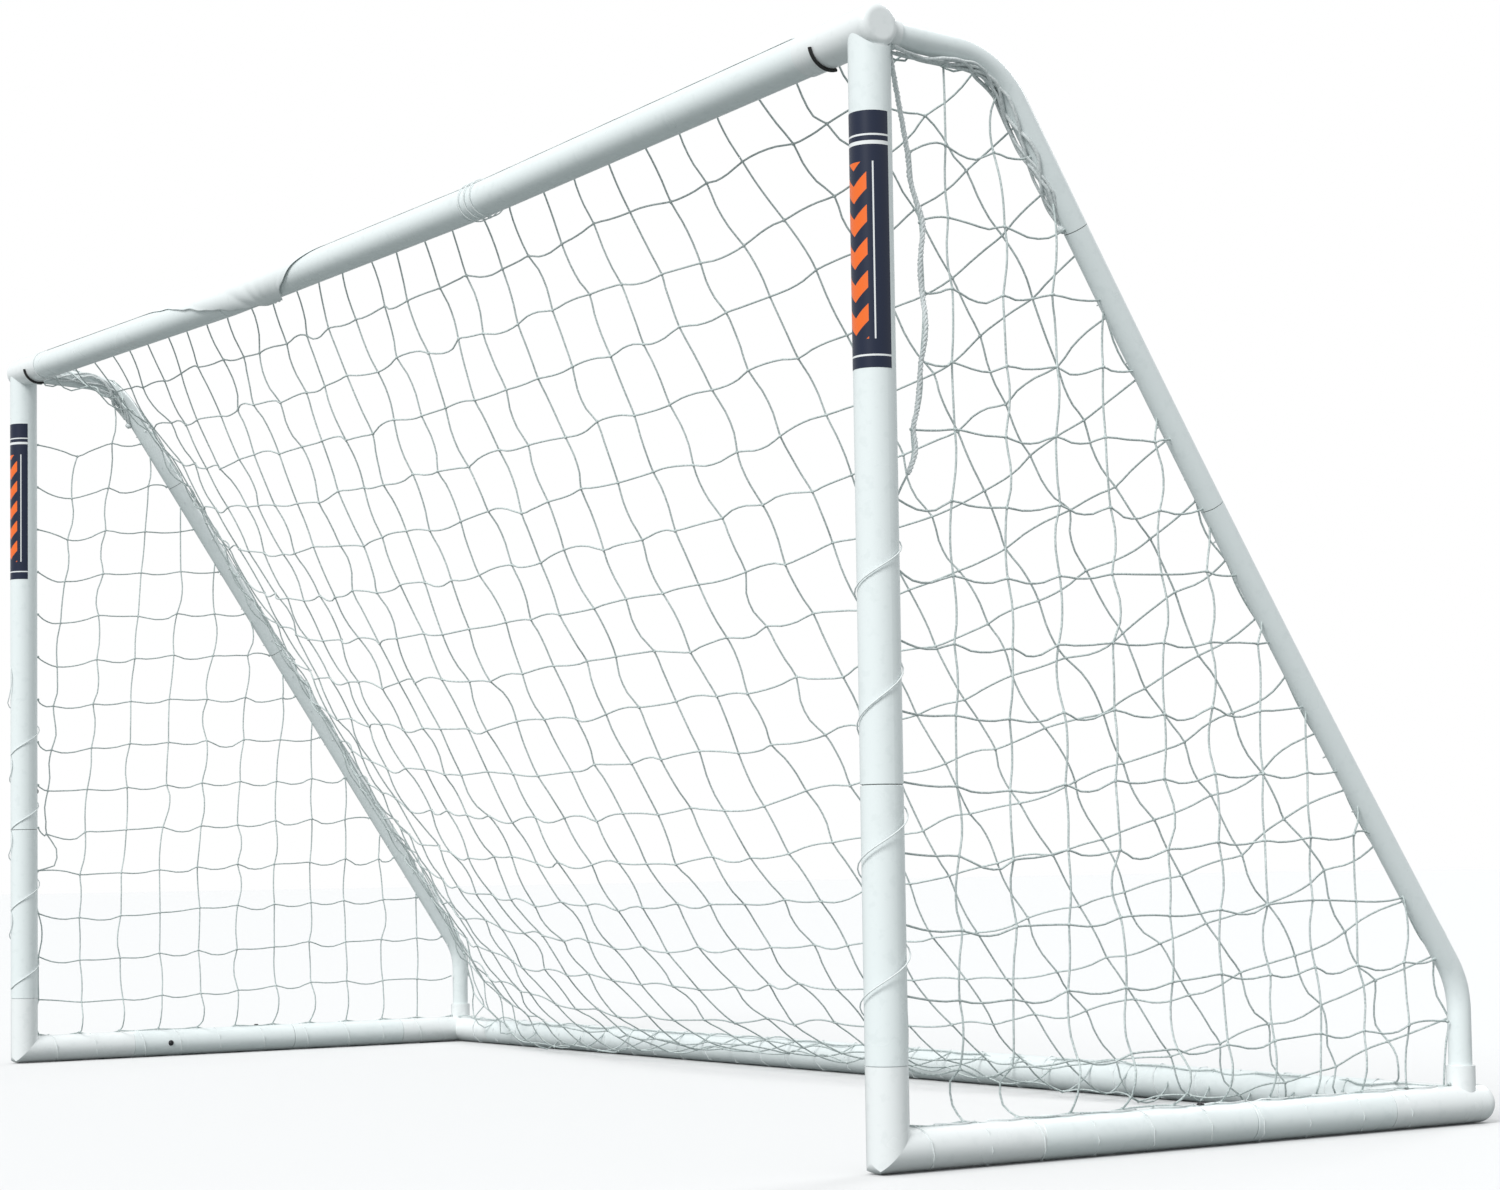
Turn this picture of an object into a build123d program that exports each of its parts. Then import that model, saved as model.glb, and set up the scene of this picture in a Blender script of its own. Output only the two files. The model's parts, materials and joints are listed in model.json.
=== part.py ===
from build123d import *
import os

# Full-size 12 by 6 foot football goal in push-together white plastic tube, with its net.
#
# The front frame, ground bars and rear stays are separate tubes, joined by moulded corners and
# inner couplers. A sprung button locks each joint that comes apart for storage. All lengths are in
# millimetres. X runs along the crossbar, Y runs from the mouth to the back and Z is up. The origin
# is on the ground, in the middle of the goal's width and depth.

# Driving dimensions
MOUTH_WIDTH = 3660.0  # clear width between the posts
HEIGHT = 1830.0  # ground to the top of the corners
BASE_DEPTH = 1276.0  # axis of the front frame to axis of the back bar
REAR_OVERHANG = 65.0  # axis of the back bar to the rounded ends of the side bars
CROSSBAR_SAG = 27.0  # how far the crossbar hangs down at its middle
TUBE_OD = 68.0
TUBE_WALL = 2.5
STAY_OD = 42.0
STAY_WALL = 2.0
FIT_GAP = 0.1  # radial clearance of every push-together joint
SEAM_GAP = 1.6  # how far apart two tube ends stay at a seam
END_CHAMFER = 0.7
CORD_D = 2.6
NET_THICKNESS = 0.8

# Moulded corners
TOP_BODY_OD = 72.0
CORNER_WALL = 3.0
TOP_CORNER_REACH = 164.0  # post axis to the crossbar's seam
TOP_CORNER_ROUND = 13.0
BOTTOM_CORNER_RISE = 165.0  # ground to the post's seam
BOTTOM_CORNER_REACH = 290.0  # front axis to the side bar's seam
BOTTOM_CORNER_ROUND = 18.0
REAR_CORNER_REACH = 196.0  # back bar axis forward to the side bar's seam
BACK_CORNER_REACH = 200.0  # side bar axis to the back bar's seam
REAR_END_ROUND = 26.0
STAY_SOCKET_OD = 52.0
STAY_SOCKET_TOP = 103.0
STAY_COLLAR_OD = 50.0
STAY_COLLAR_REACH = 50.0
STAY_SEAT = 24.0  # depth of the stay's end from the top corner's axis
STAY_FOOT_Z = 66.6

# Seams, couplers and snap buttons
COUPLER_LENGTH = 260.0
BUTTON_OFFSET = 100.0  # seam to the middle of its button
POST_SEAM_Z = 600.0
CROSSBAR_SEAM_X = 567.0
SIDE_SEAM_Y = 750.0
BACK_SEAM_X = 213.0
STAY_SEAMS = (550.0, 1080.0)  # along a stay, from the top corner's axis
STAY_COUPLER_LENGTH = 120.0
BUTTON_R = 6.5
BUTTON_HOLE_R = 7.5
BUTTON_PROUD = 4.0
LEAF_LENGTH = 60.0
LEAF_WIDTH = 12.0
LEAF_THICKNESS = 0.8
FOOT_LENGTH = 20.0
RIVET_R = 2.0

# Rear stays: corner points of their centre line, as (distance back, height)
STAY_TOP_BEND = (250.0, 1783.0)
STAY_FOOT_BEND_Z = 249.0
STAY_BEND_R = 150.0
STAY_BOW = 20.0  # how far the right stay's long run is drawn in by the net
STAY_BOW_R = 30000.0

# Ground peg holes, labels, lacing
PEG_HOLE_R = 6.0
PEG_HOLES_Y = (109.0, 1135.0)
LABEL_FOOT_Z = 1250.0
LABEL_HEIGHT = 406.0
LABEL_THICKNESS = 0.3
LABEL_HALF_ANGLE = 96.0
LABEL_TURN = 9.0  # how far each label is turned outwards
LACING_PITCH = 114.0
HOOK_R = 3.0
HOOK_START = 10.0
HOOK_ANGLE = 100.0
LACING_ROOM = 6.0  # space left round a tube for its lacing and buttons
LACING_CLEARANCE = 0.5
LACING_OPENING = 50.0  # angle of a turn where the cord leads off to the next mesh
HEM_THICKNESS = 0.8
HEM_GAP = 0.5  # the hem lies loosely on the crossbar
HEM_START = 20.0  # angle of the hem's rear edge above straight back
HEM_SWEEP = 92.0
HEM_END_ROOM = 20.0  # the hem stops this far short of the top corners
WHIPPING_TURNS = 3  # turns of cord over the hem at the crossbar's right seam
WHIPPING_PITCH = 28.0

# Derived dimensions
TUBE_R = TUBE_OD / 2
BORE_R = TUBE_R - TUBE_WALL
SPIGOT_R = BORE_R - FIT_GAP
SPIGOT_BORE_R = SPIGOT_R - CORNER_WALL
BRANCH_R = TUBE_R - 0.4
HOOK_RING_R = TOP_BODY_OD / 2 + HOOK_R + 0.2
BRANCH_BORE_R = SPIGOT_BORE_R - 0.6
TOP_BODY_R = TOP_BODY_OD / 2
STAY_R = STAY_OD / 2
POST_X = (MOUTH_WIDTH + TUBE_OD) / 2
FRONT_Y = TUBE_R - (TUBE_R + BASE_DEPTH + REAR_OVERHANG) / 2
BACK_Y = FRONT_Y + BASE_DEPTH
REAR_Y = BACK_Y + REAR_OVERHANG
TOP_Z = HEIGHT - TOP_BODY_R
BASE_Z = TUBE_R
SPIGOT_LENGTH = COUPLER_LENGTH / 2
TOP_SEAM_X = POST_X - TOP_CORNER_REACH
BACK_CORNER_SEAM_X = POST_X - BACK_CORNER_REACH
BOTTOM_SEAM_Y = FRONT_Y + BOTTOM_CORNER_REACH
REAR_SEAM_Y = BACK_Y - REAR_CORNER_REACH
MIDDLE_SEAM_Y = FRONT_Y + SIDE_SEAM_Y

SIDES = {"left": -1, "right": 1}
parts = {}


def rod(path, diameter):
    """A solid round bar along a path, with a mitre where the path turns sharply."""
    start = Plane(origin=path @ 0, z_dir=path % 0)
    return sweep(start * Circle(diameter / 2), path=path, transition=Transition.RIGHT)


def soften_ends(shape, radius):
    """Chamfer the outer rims of a cut tube."""
    rims = [
        edge for edge in shape.edges()
        if edge.geom_type == GeomType.CIRCLE and abs(edge.radius - radius) < 0.01
    ]
    return chamfer(rims, END_CHAMFER)


def tube(path):
    """A straight cut length of tube with softened outer rims."""
    return soften_ends(sleeve(path, TUBE_R, BORE_R), TUBE_R)


def sleeve(path, outer_r=SPIGOT_R, bore_r=SPIGOT_BORE_R):
    """A hollow round length; by default the inner coupler that bridges a seam."""
    return rod(path, 2 * outer_r) - rod(path, 2 * bore_r)


def crossbar_point(x):
    """The crossbar's axis at x: level in the middle, and rising from its two seams to the posts."""
    rise = CROSSBAR_SAG * max(0.0, abs(x) - CROSSBAR_SEAM_X) / (POST_X - CROSSBAR_SEAM_X)
    return Vector(x, FRONT_Y, TOP_Z - CROSSBAR_SAG + rise)


def crossbar_path(x1, x2):
    """The crossbar's axis between two places on one of its lengths."""
    return Line(crossbar_point(x1), crossbar_point(x2))


def crossbar_direction(x):
    """Unit vector along the crossbar's axis at x, towards +X."""
    return (crossbar_point(x + 1) - crossbar_point(x - 1)).normalized()


def upright(x, z1, z2):
    """A vertical line on a post's axis."""
    return Line((x, FRONT_Y, z1), (x, FRONT_Y, z2))


def ground_line(x, y1, y2):
    """A line on a side bar's axis."""
    return Line((x, y1, BASE_Z), (x, y2, BASE_Z))


def back_line(x1, x2):
    """A line on the back bar's axis."""
    return Line((x1, BACK_Y, BASE_Z), (x2, BACK_Y, BASE_Z))


def elbow_path(x, top_z, rear_y):
    """Down a post's axis and back along the side bar's axis."""
    return Polyline((x, FRONT_Y, top_z), (x, FRONT_Y, BASE_Z), (x, rear_y, BASE_Z))


# Posts, crossbar, side bars and back bar


def top_body(side, diameter):
    """The top corner's horizontal body, on the crossbar's own curve."""
    return rod(crossbar_path(side * TOP_SEAM_X, side * (POST_X + TUBE_R)), diameter)


def stay_collar(side, radius, reach):
    """A round bar from the top corner's axis back along the stay's first run."""
    start = Vector(side * POST_X, FRONT_Y, TOP_Z)
    bend = Vector(side * POST_X, FRONT_Y + STAY_TOP_BEND[0], STAY_TOP_BEND[1])
    return rod(Line(start, start + (bend - start).normalized() * reach), 2 * radius)


def make_posts(name, side):
    """Two lengths of post, the upper one coped to fit under the top corner."""
    x = side * POST_X
    seat_z = BOTTOM_CORNER_RISE + SEAM_GAP / 2
    parts[f"post_lower_{name}"] = tube(upright(x, seat_z, POST_SEAM_Z - SEAM_GAP / 2))
    upper = tube(upright(x, POST_SEAM_Z + SEAM_GAP / 2, TOP_Z))
    upper -= top_body(side, TOP_BODY_OD + 2 * FIT_GAP)
    upper -= stay_collar(side, STAY_COLLAR_OD / 2 + FIT_GAP, STAY_COLLAR_REACH)
    parts[f"post_upper_{name}"] = upper
    parts[f"post_coupler_{name}"] = sleeve(
        upright(x, POST_SEAM_Z - SPIGOT_LENGTH, POST_SEAM_Z + SPIGOT_LENGTH)
    )


def make_crossbar():
    """Three lengths of crossbar and the couplers of their two seams."""
    middle = crossbar_path(-CROSSBAR_SEAM_X + SEAM_GAP / 2, CROSSBAR_SEAM_X - SEAM_GAP / 2)
    parts["crossbar_middle"] = tube(middle)
    for name, side in SIDES.items():
        start = side * (CROSSBAR_SEAM_X + SEAM_GAP / 2)
        end = side * (TOP_SEAM_X - SEAM_GAP / 2)
        parts[f"crossbar_{name}"] = tube(crossbar_path(start, end))
        stations = (CROSSBAR_SEAM_X - SPIGOT_LENGTH, CROSSBAR_SEAM_X, CROSSBAR_SEAM_X + SPIGOT_LENGTH)
        kinked = Polyline(*[crossbar_point(side * station) for station in stations])
        parts[f"crossbar_coupler_{name}"] = sleeve(kinked)


def make_side_bars(name, side):
    """Two lengths of side bar and the coupler between them."""
    x = side * POST_X
    parts[f"side_bar_front_{name}"] = tube(
        ground_line(x, BOTTOM_SEAM_Y + SEAM_GAP / 2, MIDDLE_SEAM_Y - SEAM_GAP / 2)
    )
    parts[f"side_bar_rear_{name}"] = tube(
        ground_line(x, MIDDLE_SEAM_Y + SEAM_GAP / 2, REAR_SEAM_Y - SEAM_GAP / 2)
    )
    parts[f"side_bar_coupler_{name}"] = sleeve(
        ground_line(x, MIDDLE_SEAM_Y - SPIGOT_LENGTH, MIDDLE_SEAM_Y + SPIGOT_LENGTH)
    )


def make_back_bar():
    """Three lengths of back bar and the couplers of their two seams."""
    parts["back_bar_middle"] = tube(
        back_line(-BACK_SEAM_X + SEAM_GAP / 2, BACK_SEAM_X - SEAM_GAP / 2)
    )
    for name, side in SIDES.items():
        parts[f"back_bar_{name}"] = tube(
            back_line(side * (BACK_SEAM_X + SEAM_GAP / 2), side * (BACK_CORNER_SEAM_X - SEAM_GAP / 2))
        )
        inner_end = side * (BACK_SEAM_X - SPIGOT_LENGTH)
        outer_end = side * (BACK_SEAM_X + SPIGOT_LENGTH)
        parts[f"back_bar_coupler_{name}"] = sleeve(back_line(inner_end, outer_end))


# Moulded corners


def make_top_corner(name, side):
    """Joins crossbar, post and stay: a rounded body, two spigots and the stay's collar."""
    x = side * POST_X
    body = top_body(side, TOP_BODY_OD)
    end = body.faces().sort_by(Axis.X)[-1 if side > 0 else 0]
    body = fillet(end.edges(), TOP_CORNER_ROUND)
    spigot_end_x = side * (TOP_SEAM_X - SPIGOT_LENGTH)
    spigot_end_z = TOP_Z - TOP_BODY_R - SPIGOT_LENGTH
    body += rod(crossbar_path(spigot_end_x, side * (TOP_SEAM_X + TUBE_WALL)), 2 * SPIGOT_R)
    body += rod(upright(x, spigot_end_z, TOP_Z), 2 * SPIGOT_R)
    body += stay_collar(side, STAY_COLLAR_OD / 2, STAY_COLLAR_REACH)
    body -= rod(crossbar_path(spigot_end_x, side * (POST_X + SPIGOT_BORE_R)), 2 * SPIGOT_BORE_R)
    body -= rod(upright(x, spigot_end_z, TOP_Z), 2 * BRANCH_BORE_R)
    body -= stay_collar(side, STAY_R - STAY_WALL, STAY_COLLAR_REACH)
    stay_start = stay_collar(side, STAY_R + FIT_GAP, STAY_COLLAR_REACH)
    body -= stay_start - stay_collar(side, STAY_R + FIT_GAP, STAY_SEAT)
    parts[f"top_corner_{name}"] = body


def make_bottom_corner(name, side):
    """Mitred elbow from post to side bar, with a spigot for each and a peg hole."""
    x = side * POST_X
    body = rod(elbow_path(x, BOTTOM_CORNER_RISE, BOTTOM_SEAM_Y), TUBE_OD)
    block = Pos(x, FRONT_Y - TUBE_R, 0) * Box(
        2 * TUBE_OD, 2 * BOTTOM_CORNER_REACH, 2 * BOTTOM_CORNER_RISE,
        align=(Align.CENTER, Align.MIN, Align.MIN)
    )
    outer_edge = block.edges().filter_by(Axis.X).sort_by(lambda e: e.center().Y + e.center().Z)[0]
    body = body & fillet(outer_edge, BOTTOM_CORNER_ROUND)
    post_end_z = BOTTOM_CORNER_RISE + SPIGOT_LENGTH
    bar_end_y = BOTTOM_SEAM_Y + SPIGOT_LENGTH
    body += rod(upright(x, BOTTOM_CORNER_RISE - TUBE_WALL, post_end_z), 2 * SPIGOT_R)
    body += rod(ground_line(x, BOTTOM_SEAM_Y - TUBE_WALL, bar_end_y), 2 * SPIGOT_R)
    body -= rod(elbow_path(x, post_end_z, bar_end_y), 2 * SPIGOT_BORE_R)
    parts[f"bottom_corner_{name}"] = body - peg_hole(x, PEG_HOLES_Y[0])


def make_rear_corner(name, side):
    """Rounded end of the side bar, with a branch to the back bar and a socket for the stay."""
    x = side * POST_X
    body = rod(ground_line(x, REAR_SEAM_Y, REAR_Y), TUBE_OD)
    body = fillet(body.faces().sort_by(Axis.Y)[-1].edges(), REAR_END_ROUND)
    body += rod(back_line(x, side * BACK_CORNER_SEAM_X), 2 * BRANCH_R)
    body += rod(Line((x, BACK_Y, BASE_Z), (x, BACK_Y, STAY_SOCKET_TOP)), STAY_SOCKET_OD)
    bar_end_y = REAR_SEAM_Y - SPIGOT_LENGTH
    back_end_x = side * (BACK_CORNER_SEAM_X - SPIGOT_LENGTH)
    body += rod(ground_line(x, bar_end_y, REAR_SEAM_Y + TUBE_WALL), 2 * SPIGOT_R)
    body += rod(back_line(back_end_x, side * (BACK_CORNER_SEAM_X + TUBE_WALL)), 2 * SPIGOT_R)
    body -= rod(ground_line(x, bar_end_y, BACK_Y + SPIGOT_BORE_R), 2 * BRANCH_BORE_R)
    body -= rod(back_line(back_end_x, x), 2 * SPIGOT_BORE_R)
    seat = Line((x, BACK_Y, STAY_FOOT_Z - FIT_GAP), (x, BACK_Y, STAY_SOCKET_TOP))
    body -= rod(seat, STAY_OD + 2 * FIT_GAP)
    parts[f"rear_corner_{name}"] = body - peg_hole(x, PEG_HOLES_Y[1])


def peg_hole(x, distance_back):
    """An upright hole right through a ground bar, for a ground peg."""
    return Pos(x, FRONT_Y + distance_back, BASE_Z) * Cylinder(PEG_HOLE_R, 2 * TUBE_OD)


# Rear stays


def stay_path(side):
    """A stay's centre line: back from the top corner, down its slope and into its socket."""
    x = side * POST_X
    corner = (x, FRONT_Y, TOP_Z)
    top_bend = (x, FRONT_Y + STAY_TOP_BEND[0], STAY_TOP_BEND[1])
    foot_bend = (x, BACK_Y, STAY_FOOT_BEND_Z)
    foot = (x, BACK_Y, STAY_FOOT_Z)
    if side < 0:
        return FilletPolyline(corner, top_bend, foot_bend, foot, radius=STAY_BEND_R)
    slope = (Vector(*foot_bend) - Vector(*top_bend)).normalized()
    inwards = Vector(0, slope.Z, -slope.Y)
    bow = (Vector(*foot_bend) + Vector(*top_bend)) / 2 + inwards * STAY_BOW
    radii = [STAY_BEND_R, STAY_BOW_R, STAY_BEND_R]
    return FilletPolyline(corner, top_bend, bow, foot_bend, foot, radius=radii)


def stretch(shape, path, start, end):
    """The part of a shape that lies along the path between two distances."""
    for distance, keep in ((start, Keep.TOP), (end, Keep.BOTTOM)):
        point = path.position_at(distance, position_mode=PositionMode.LENGTH)
        along = path.tangent_at(distance, position_mode=PositionMode.LENGTH)
        shape = split(shape, bisect_by=Plane(origin=point, z_dir=along), keep=keep)
    return shape


def make_stay(name, side):
    """Three lengths of one stay, and its two couplers."""
    path = stay_path(side)
    whole = rod(path, STAY_OD) - rod(path, STAY_OD - 2 * STAY_WALL)
    coupler_r = STAY_R - STAY_WALL - FIT_GAP
    core = rod(path, 2 * coupler_r) - rod(path, 2 * (coupler_r - STAY_WALL))
    half_gap = SEAM_GAP / 2
    ends = (STAY_SEAT + FIT_GAP, *STAY_SEAMS, path.length)
    for index, label in enumerate(("top", "middle", "lower")):
        start = ends[index] + half_gap * (index > 0)
        end = ends[index + 1] - half_gap * (index < 2)
        piece = stretch(whole, path, start, end)
        parts[f"stay_{label}_{name}"] = piece
    half = STAY_COUPLER_LENGTH / 2
    return [stretch(core, path, seam - half, seam + half) for seam in STAY_SEAMS]


# Snap buttons: each is a dome on the free end of a spring leaf, riveted inside its coupler


def list_clips():
    """Each clip's name, the point of the axis under its button, the way to the leaf's root, the
    way the button points, the piece that holds it and the tube that it locks."""
    clips = []
    back = Vector(0, 1, 0)
    up = Vector(0, 0, 1)
    for name, side in SIDES.items():
        x = side * POST_X
        out = Vector(side, 0, 0)
        seam_x = side * (CROSSBAR_SEAM_X + BUTTON_OFFSET)
        clips.append((
            f"crossbar_button_{name}", crossbar_point(seam_x), crossbar_direction(seam_x) * -side,
            back, f"crossbar_coupler_{name}", f"crossbar_{name}"
        ))
        corner_x = side * (TOP_SEAM_X - BUTTON_OFFSET)
        clips.append((
            f"top_corner_button_{name}", crossbar_point(corner_x), crossbar_direction(corner_x) * side,
            back, f"top_corner_{name}", f"crossbar_{name}"
        ))
        clips.append((
            f"post_button_{name}", Vector(x, FRONT_Y, POST_SEAM_Z + BUTTON_OFFSET), up * -1,
            back, f"post_coupler_{name}", f"post_upper_{name}"
        ))
        clips.append((
            f"bottom_corner_button_{name}", Vector(x, BOTTOM_SEAM_Y + BUTTON_OFFSET, BASE_Z),
            back * -1, out * -1, f"bottom_corner_{name}", f"side_bar_front_{name}"
        ))
        clips.append((
            f"side_bar_button_{name}", Vector(x, MIDDLE_SEAM_Y - BUTTON_OFFSET, BASE_Z), back,
            up, f"side_bar_coupler_{name}", f"side_bar_front_{name}"
        ))
        clips.append((
            f"back_bar_button_{name}", Vector(side * (BACK_SEAM_X + BUTTON_OFFSET), BACK_Y, BASE_Z),
            out * -1, back, f"back_bar_coupler_{name}", f"back_bar_{name}"
        ))
        clips.append((
            f"rear_corner_button_{name}",
            Vector(side * (BACK_CORNER_SEAM_X - BUTTON_OFFSET), BACK_Y, BASE_Z),
            out, back, f"rear_corner_{name}", f"back_bar_{name}"
        ))
    return clips


LEAF_TOP = SPIGOT_BORE_R - 1.0
LEAF_BOTTOM = LEAF_TOP - LEAF_THICKNESS
HINGE_GAP = 0.3


def strip(start, end):
    """A flat piece of spring strip in a clip's own frame: X to the leaf's root, Z outwards."""
    return Pos((start + end) / 2, 0, LEAF_TOP - LEAF_THICKNESS / 2) * Box(
        end - start, LEAF_WIDTH, LEAF_THICKNESS
    )


def peg(x, radius, low, high):
    """A round pin that stands along Z in a clip's own frame."""
    return Pos(x, 0, (low + high) / 2) * Cylinder(radius, high - low)


def make_clips():
    """The moving leaves with their buttons, and the riveted feet that hold them."""
    feet = []
    rivets = []
    rivet_x = LEAF_LENGTH + FOOT_LENGTH / 2
    button = peg(0, BUTTON_R, LEAF_TOP, TUBE_R + BUTTON_PROUD)
    button = fillet(button.edges().group_by(Axis.Z)[-1], BUTTON_PROUD - 0.5)
    leaf = strip(-BUTTON_R - 2, LEAF_LENGTH) + button
    foot = strip(LEAF_LENGTH + HINGE_GAP, LEAF_LENGTH + FOOT_LENGTH)
    foot -= peg(rivet_x, RIVET_R + FIT_GAP / 2, LEAF_BOTTOM - 1, LEAF_TOP + 1)
    rivet = peg(rivet_x, RIVET_R, LEAF_BOTTOM - 1, SPIGOT_R - 0.1)
    rivet += peg(rivet_x, 2 * RIVET_R, LEAF_BOTTOM - 1.2, LEAF_BOTTOM - 0.02)
    button_hole = peg(0, BUTTON_HOLE_R, LEAF_TOP - 2, TUBE_OD)
    rivet_hole = peg(rivet_x, RIVET_R + FIT_GAP / 2, LEAF_TOP - 2, TUBE_OD)
    for name, seat, to_root, outward, holder, locked in list_clips():
        place = Plane(origin=seat, x_dir=to_root, z_dir=outward)
        parts[name] = place * leaf
        feet.append(place * foot)
        rivets.append(place * rivet)
        parts[locked] -= place * button_hole
        parts[holder] -= place * button_hole
        parts[holder] -= place * rivet_hole
    parts["clip_feet"] = feet
    parts["clip_rivets"] = rivets


# Net, lacing, hooks and labels


def make_net():
    """The net as thin flat panels: roof, back slope and the two sides."""
    half = POST_X - STAY_SOCKET_OD / 2 - 2
    roof_y = FRONT_Y + TOP_BODY_R + LACING_ROOM
    roof = [
        (-half, roof_y, TOP_Z - 2),
        (half, roof_y, TOP_Z - 2),
        (half, FRONT_Y + STAY_TOP_BEND[0] - 20, STAY_TOP_BEND[1]),
        (-half, FRONT_Y + STAY_TOP_BEND[0] - 20, STAY_TOP_BEND[1]),
    ]
    back = [
        (-half, FRONT_Y + STAY_TOP_BEND[0] - 15, STAY_TOP_BEND[1] - 2),
        (half, FRONT_Y + STAY_TOP_BEND[0] - 15, STAY_TOP_BEND[1] - 2),
        (half, BACK_Y - 12, 2 * BASE_Z + LACING_ROOM),
        (-half, BACK_Y - 12, 2 * BASE_Z + LACING_ROOM),
    ]
    for name, corners in (("net_roof", roof), ("net_back", back)):
        sheet = make_face(Polyline(*corners, close=True))
        parts[name] = extrude(sheet, NET_THICKNESS)
    for name, side in SIDES.items():
        x = side * POST_X
        front = FRONT_Y + TUBE_R + LACING_ROOM
        outline = [
            (x, front, 2 * BASE_Z + LACING_ROOM),
            (x, front, TOP_Z - TOP_BODY_R - 1),
            (x, FRONT_Y + STAY_COLLAR_REACH + 1, TOP_Z - TOP_BODY_R - 1),
            (x, FRONT_Y + STAY_COLLAR_REACH + 1, TOP_Z - STAY_R),
            (x, FRONT_Y + STAY_TOP_BEND[0], STAY_TOP_BEND[1]),
            (x, BACK_Y, STAY_FOOT_BEND_Z),
            (x, BACK_Y, STAY_SOCKET_TOP + 1),
            (x, BACK_Y - STAY_SOCKET_OD / 2 - 1, STAY_SOCKET_TOP + 1),
            (x, BACK_Y - STAY_SOCKET_OD / 2 - 1, 2 * BASE_Z + LACING_ROOM),
        ]
        sheet = make_face(Polyline(*outline, close=True))
        panel = extrude(sheet, NET_THICKNESS / 2, both=True)
        panel -= rod(stay_path(side), STAY_OD + 2 * LACING_ROOM)
        parts[f"net_side_{name}"] = panel.solids().sort_by(SortBy.VOLUME)[-1]


def open_ring(ring_r, bar_r, angle):
    """A round bar bent round the origin, from the X axis through an angle."""
    return Torus(ring_r, bar_r, major_angle=angle, align=(Align.NONE, Align.NONE, Align.NONE))


def lacing_turn(centre, along, opening, radius):
    """One open turn of the lacing cord round a tube, with the cord drawn square."""
    place = Plane(origin=centre, x_dir=opening, z_dir=along)
    ring_r = radius + LACING_CLEARANCE + CORD_D / 2
    ring = CenterArc((0, 0), ring_r, LACING_OPENING / 2, 360 - LACING_OPENING)
    return place * extrude(trace(ring, CORD_D), CORD_D / 2, both=True)


def places_between(start, end, pitch=LACING_PITCH):
    """Evenly spaced places that leave half a pitch free at both ends."""
    count = int(abs(end - start) / pitch)
    step = (end - start) / count
    return [start + step * (index + 0.5) for index in range(count)]


def make_lacing():
    """The turns of cord that tie the net to the frame."""
    down = Vector(0, 0, -1)
    back = Vector(0, 1, 0)
    turns = []
    over_hem = TUBE_R + HEM_GAP + HEM_THICKNESS
    for index in range(WHIPPING_TURNS):
        x = CROSSBAR_SEAM_X + WHIPPING_PITCH * (index + 0.5)
        turns.append(lacing_turn(crossbar_point(x), crossbar_direction(x), back, over_hem))
    for x in places_between(-BACK_CORNER_SEAM_X + 12, BACK_CORNER_SEAM_X - 12):
        turns.append(lacing_turn(Vector(x, BACK_Y, BASE_Z), Vector(1, 0, 0), down, TUBE_R))
    for name, side in SIDES.items():
        x = side * POST_X
        for z in places_between(BOTTOM_CORNER_RISE + 10, TOP_Z - 90):
            turns.append(lacing_turn(Vector(x, FRONT_Y, z), Vector(0, 0, 1), back, TUBE_R))
        for y in places_between(FRONT_Y + TUBE_OD, BACK_Y - TUBE_OD):
            turns.append(lacing_turn(Vector(x, y, BASE_Z), back, down, TUBE_R))
        path = stay_path(side)
        for distance in places_between(2 * TUBE_OD, path.length - TUBE_OD):
            point = path.position_at(distance, position_mode=PositionMode.LENGTH)
            along = path.tangent_at(distance, position_mode=PositionMode.LENGTH)
            turns.append(lacing_turn(point, along, Vector(1, 0, 0), STAY_R))
    parts["lacing_cord"] = turns


def make_hem():
    """The strip of cloth along the net's top edge, which lies over the crossbar's three lengths."""
    end_x = TOP_SEAM_X - HEM_END_ROOM
    places = (-end_x, -CROSSBAR_SEAM_X, CROSSBAR_SEAM_X, end_x)
    arc = CenterArc((0, 0), TUBE_R + HEM_GAP + HEM_THICKNESS / 2, HEM_START, HEM_SWEEP)
    strips = []
    for x1, x2 in zip(places, places[1:]):
        axis = crossbar_path(x1 + HEM_GAP, x2 - HEM_GAP)
        start = Plane(origin=axis @ 0, x_dir=(0, 1, 0), z_dir=axis % 0)
        strips.append(start * extrude(trace(arc, HEM_THICKNESS), axis.length))
    parts["net_hem"] = strips


def make_hooks():
    """The small black hooks under the crossbar's ends that hold the net's top corners."""
    hooks = []
    for name, side in SIDES.items():
        x = side * (POST_X - 2 * TUBE_R - 40)
        place = Plane(origin=crossbar_point(x), x_dir=(0, -1, 0), z_dir=crossbar_direction(x))
        hooks.append(place * Rot(0, 0, HOOK_START) * open_ring(HOOK_RING_R, HOOK_R, HOOK_ANGLE))
    parts["net_hooks"] = hooks


def make_label(name, side):
    """A thin printed label wrapped round the upper post."""
    middle = -90 + side * LABEL_TURN
    radius = TUBE_R + 0.05 + LABEL_THICKNESS / 2
    arc = CenterArc((0, 0), radius, middle - LABEL_HALF_ANGLE, 2 * LABEL_HALF_ANGLE)
    strip_outline = trace(arc, LABEL_THICKNESS)
    label = extrude(strip_outline, LABEL_HEIGHT)
    parts[f"label_{name}"] = Pos(side * POST_X, FRONT_Y, LABEL_FOOT_Z) * label


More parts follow.
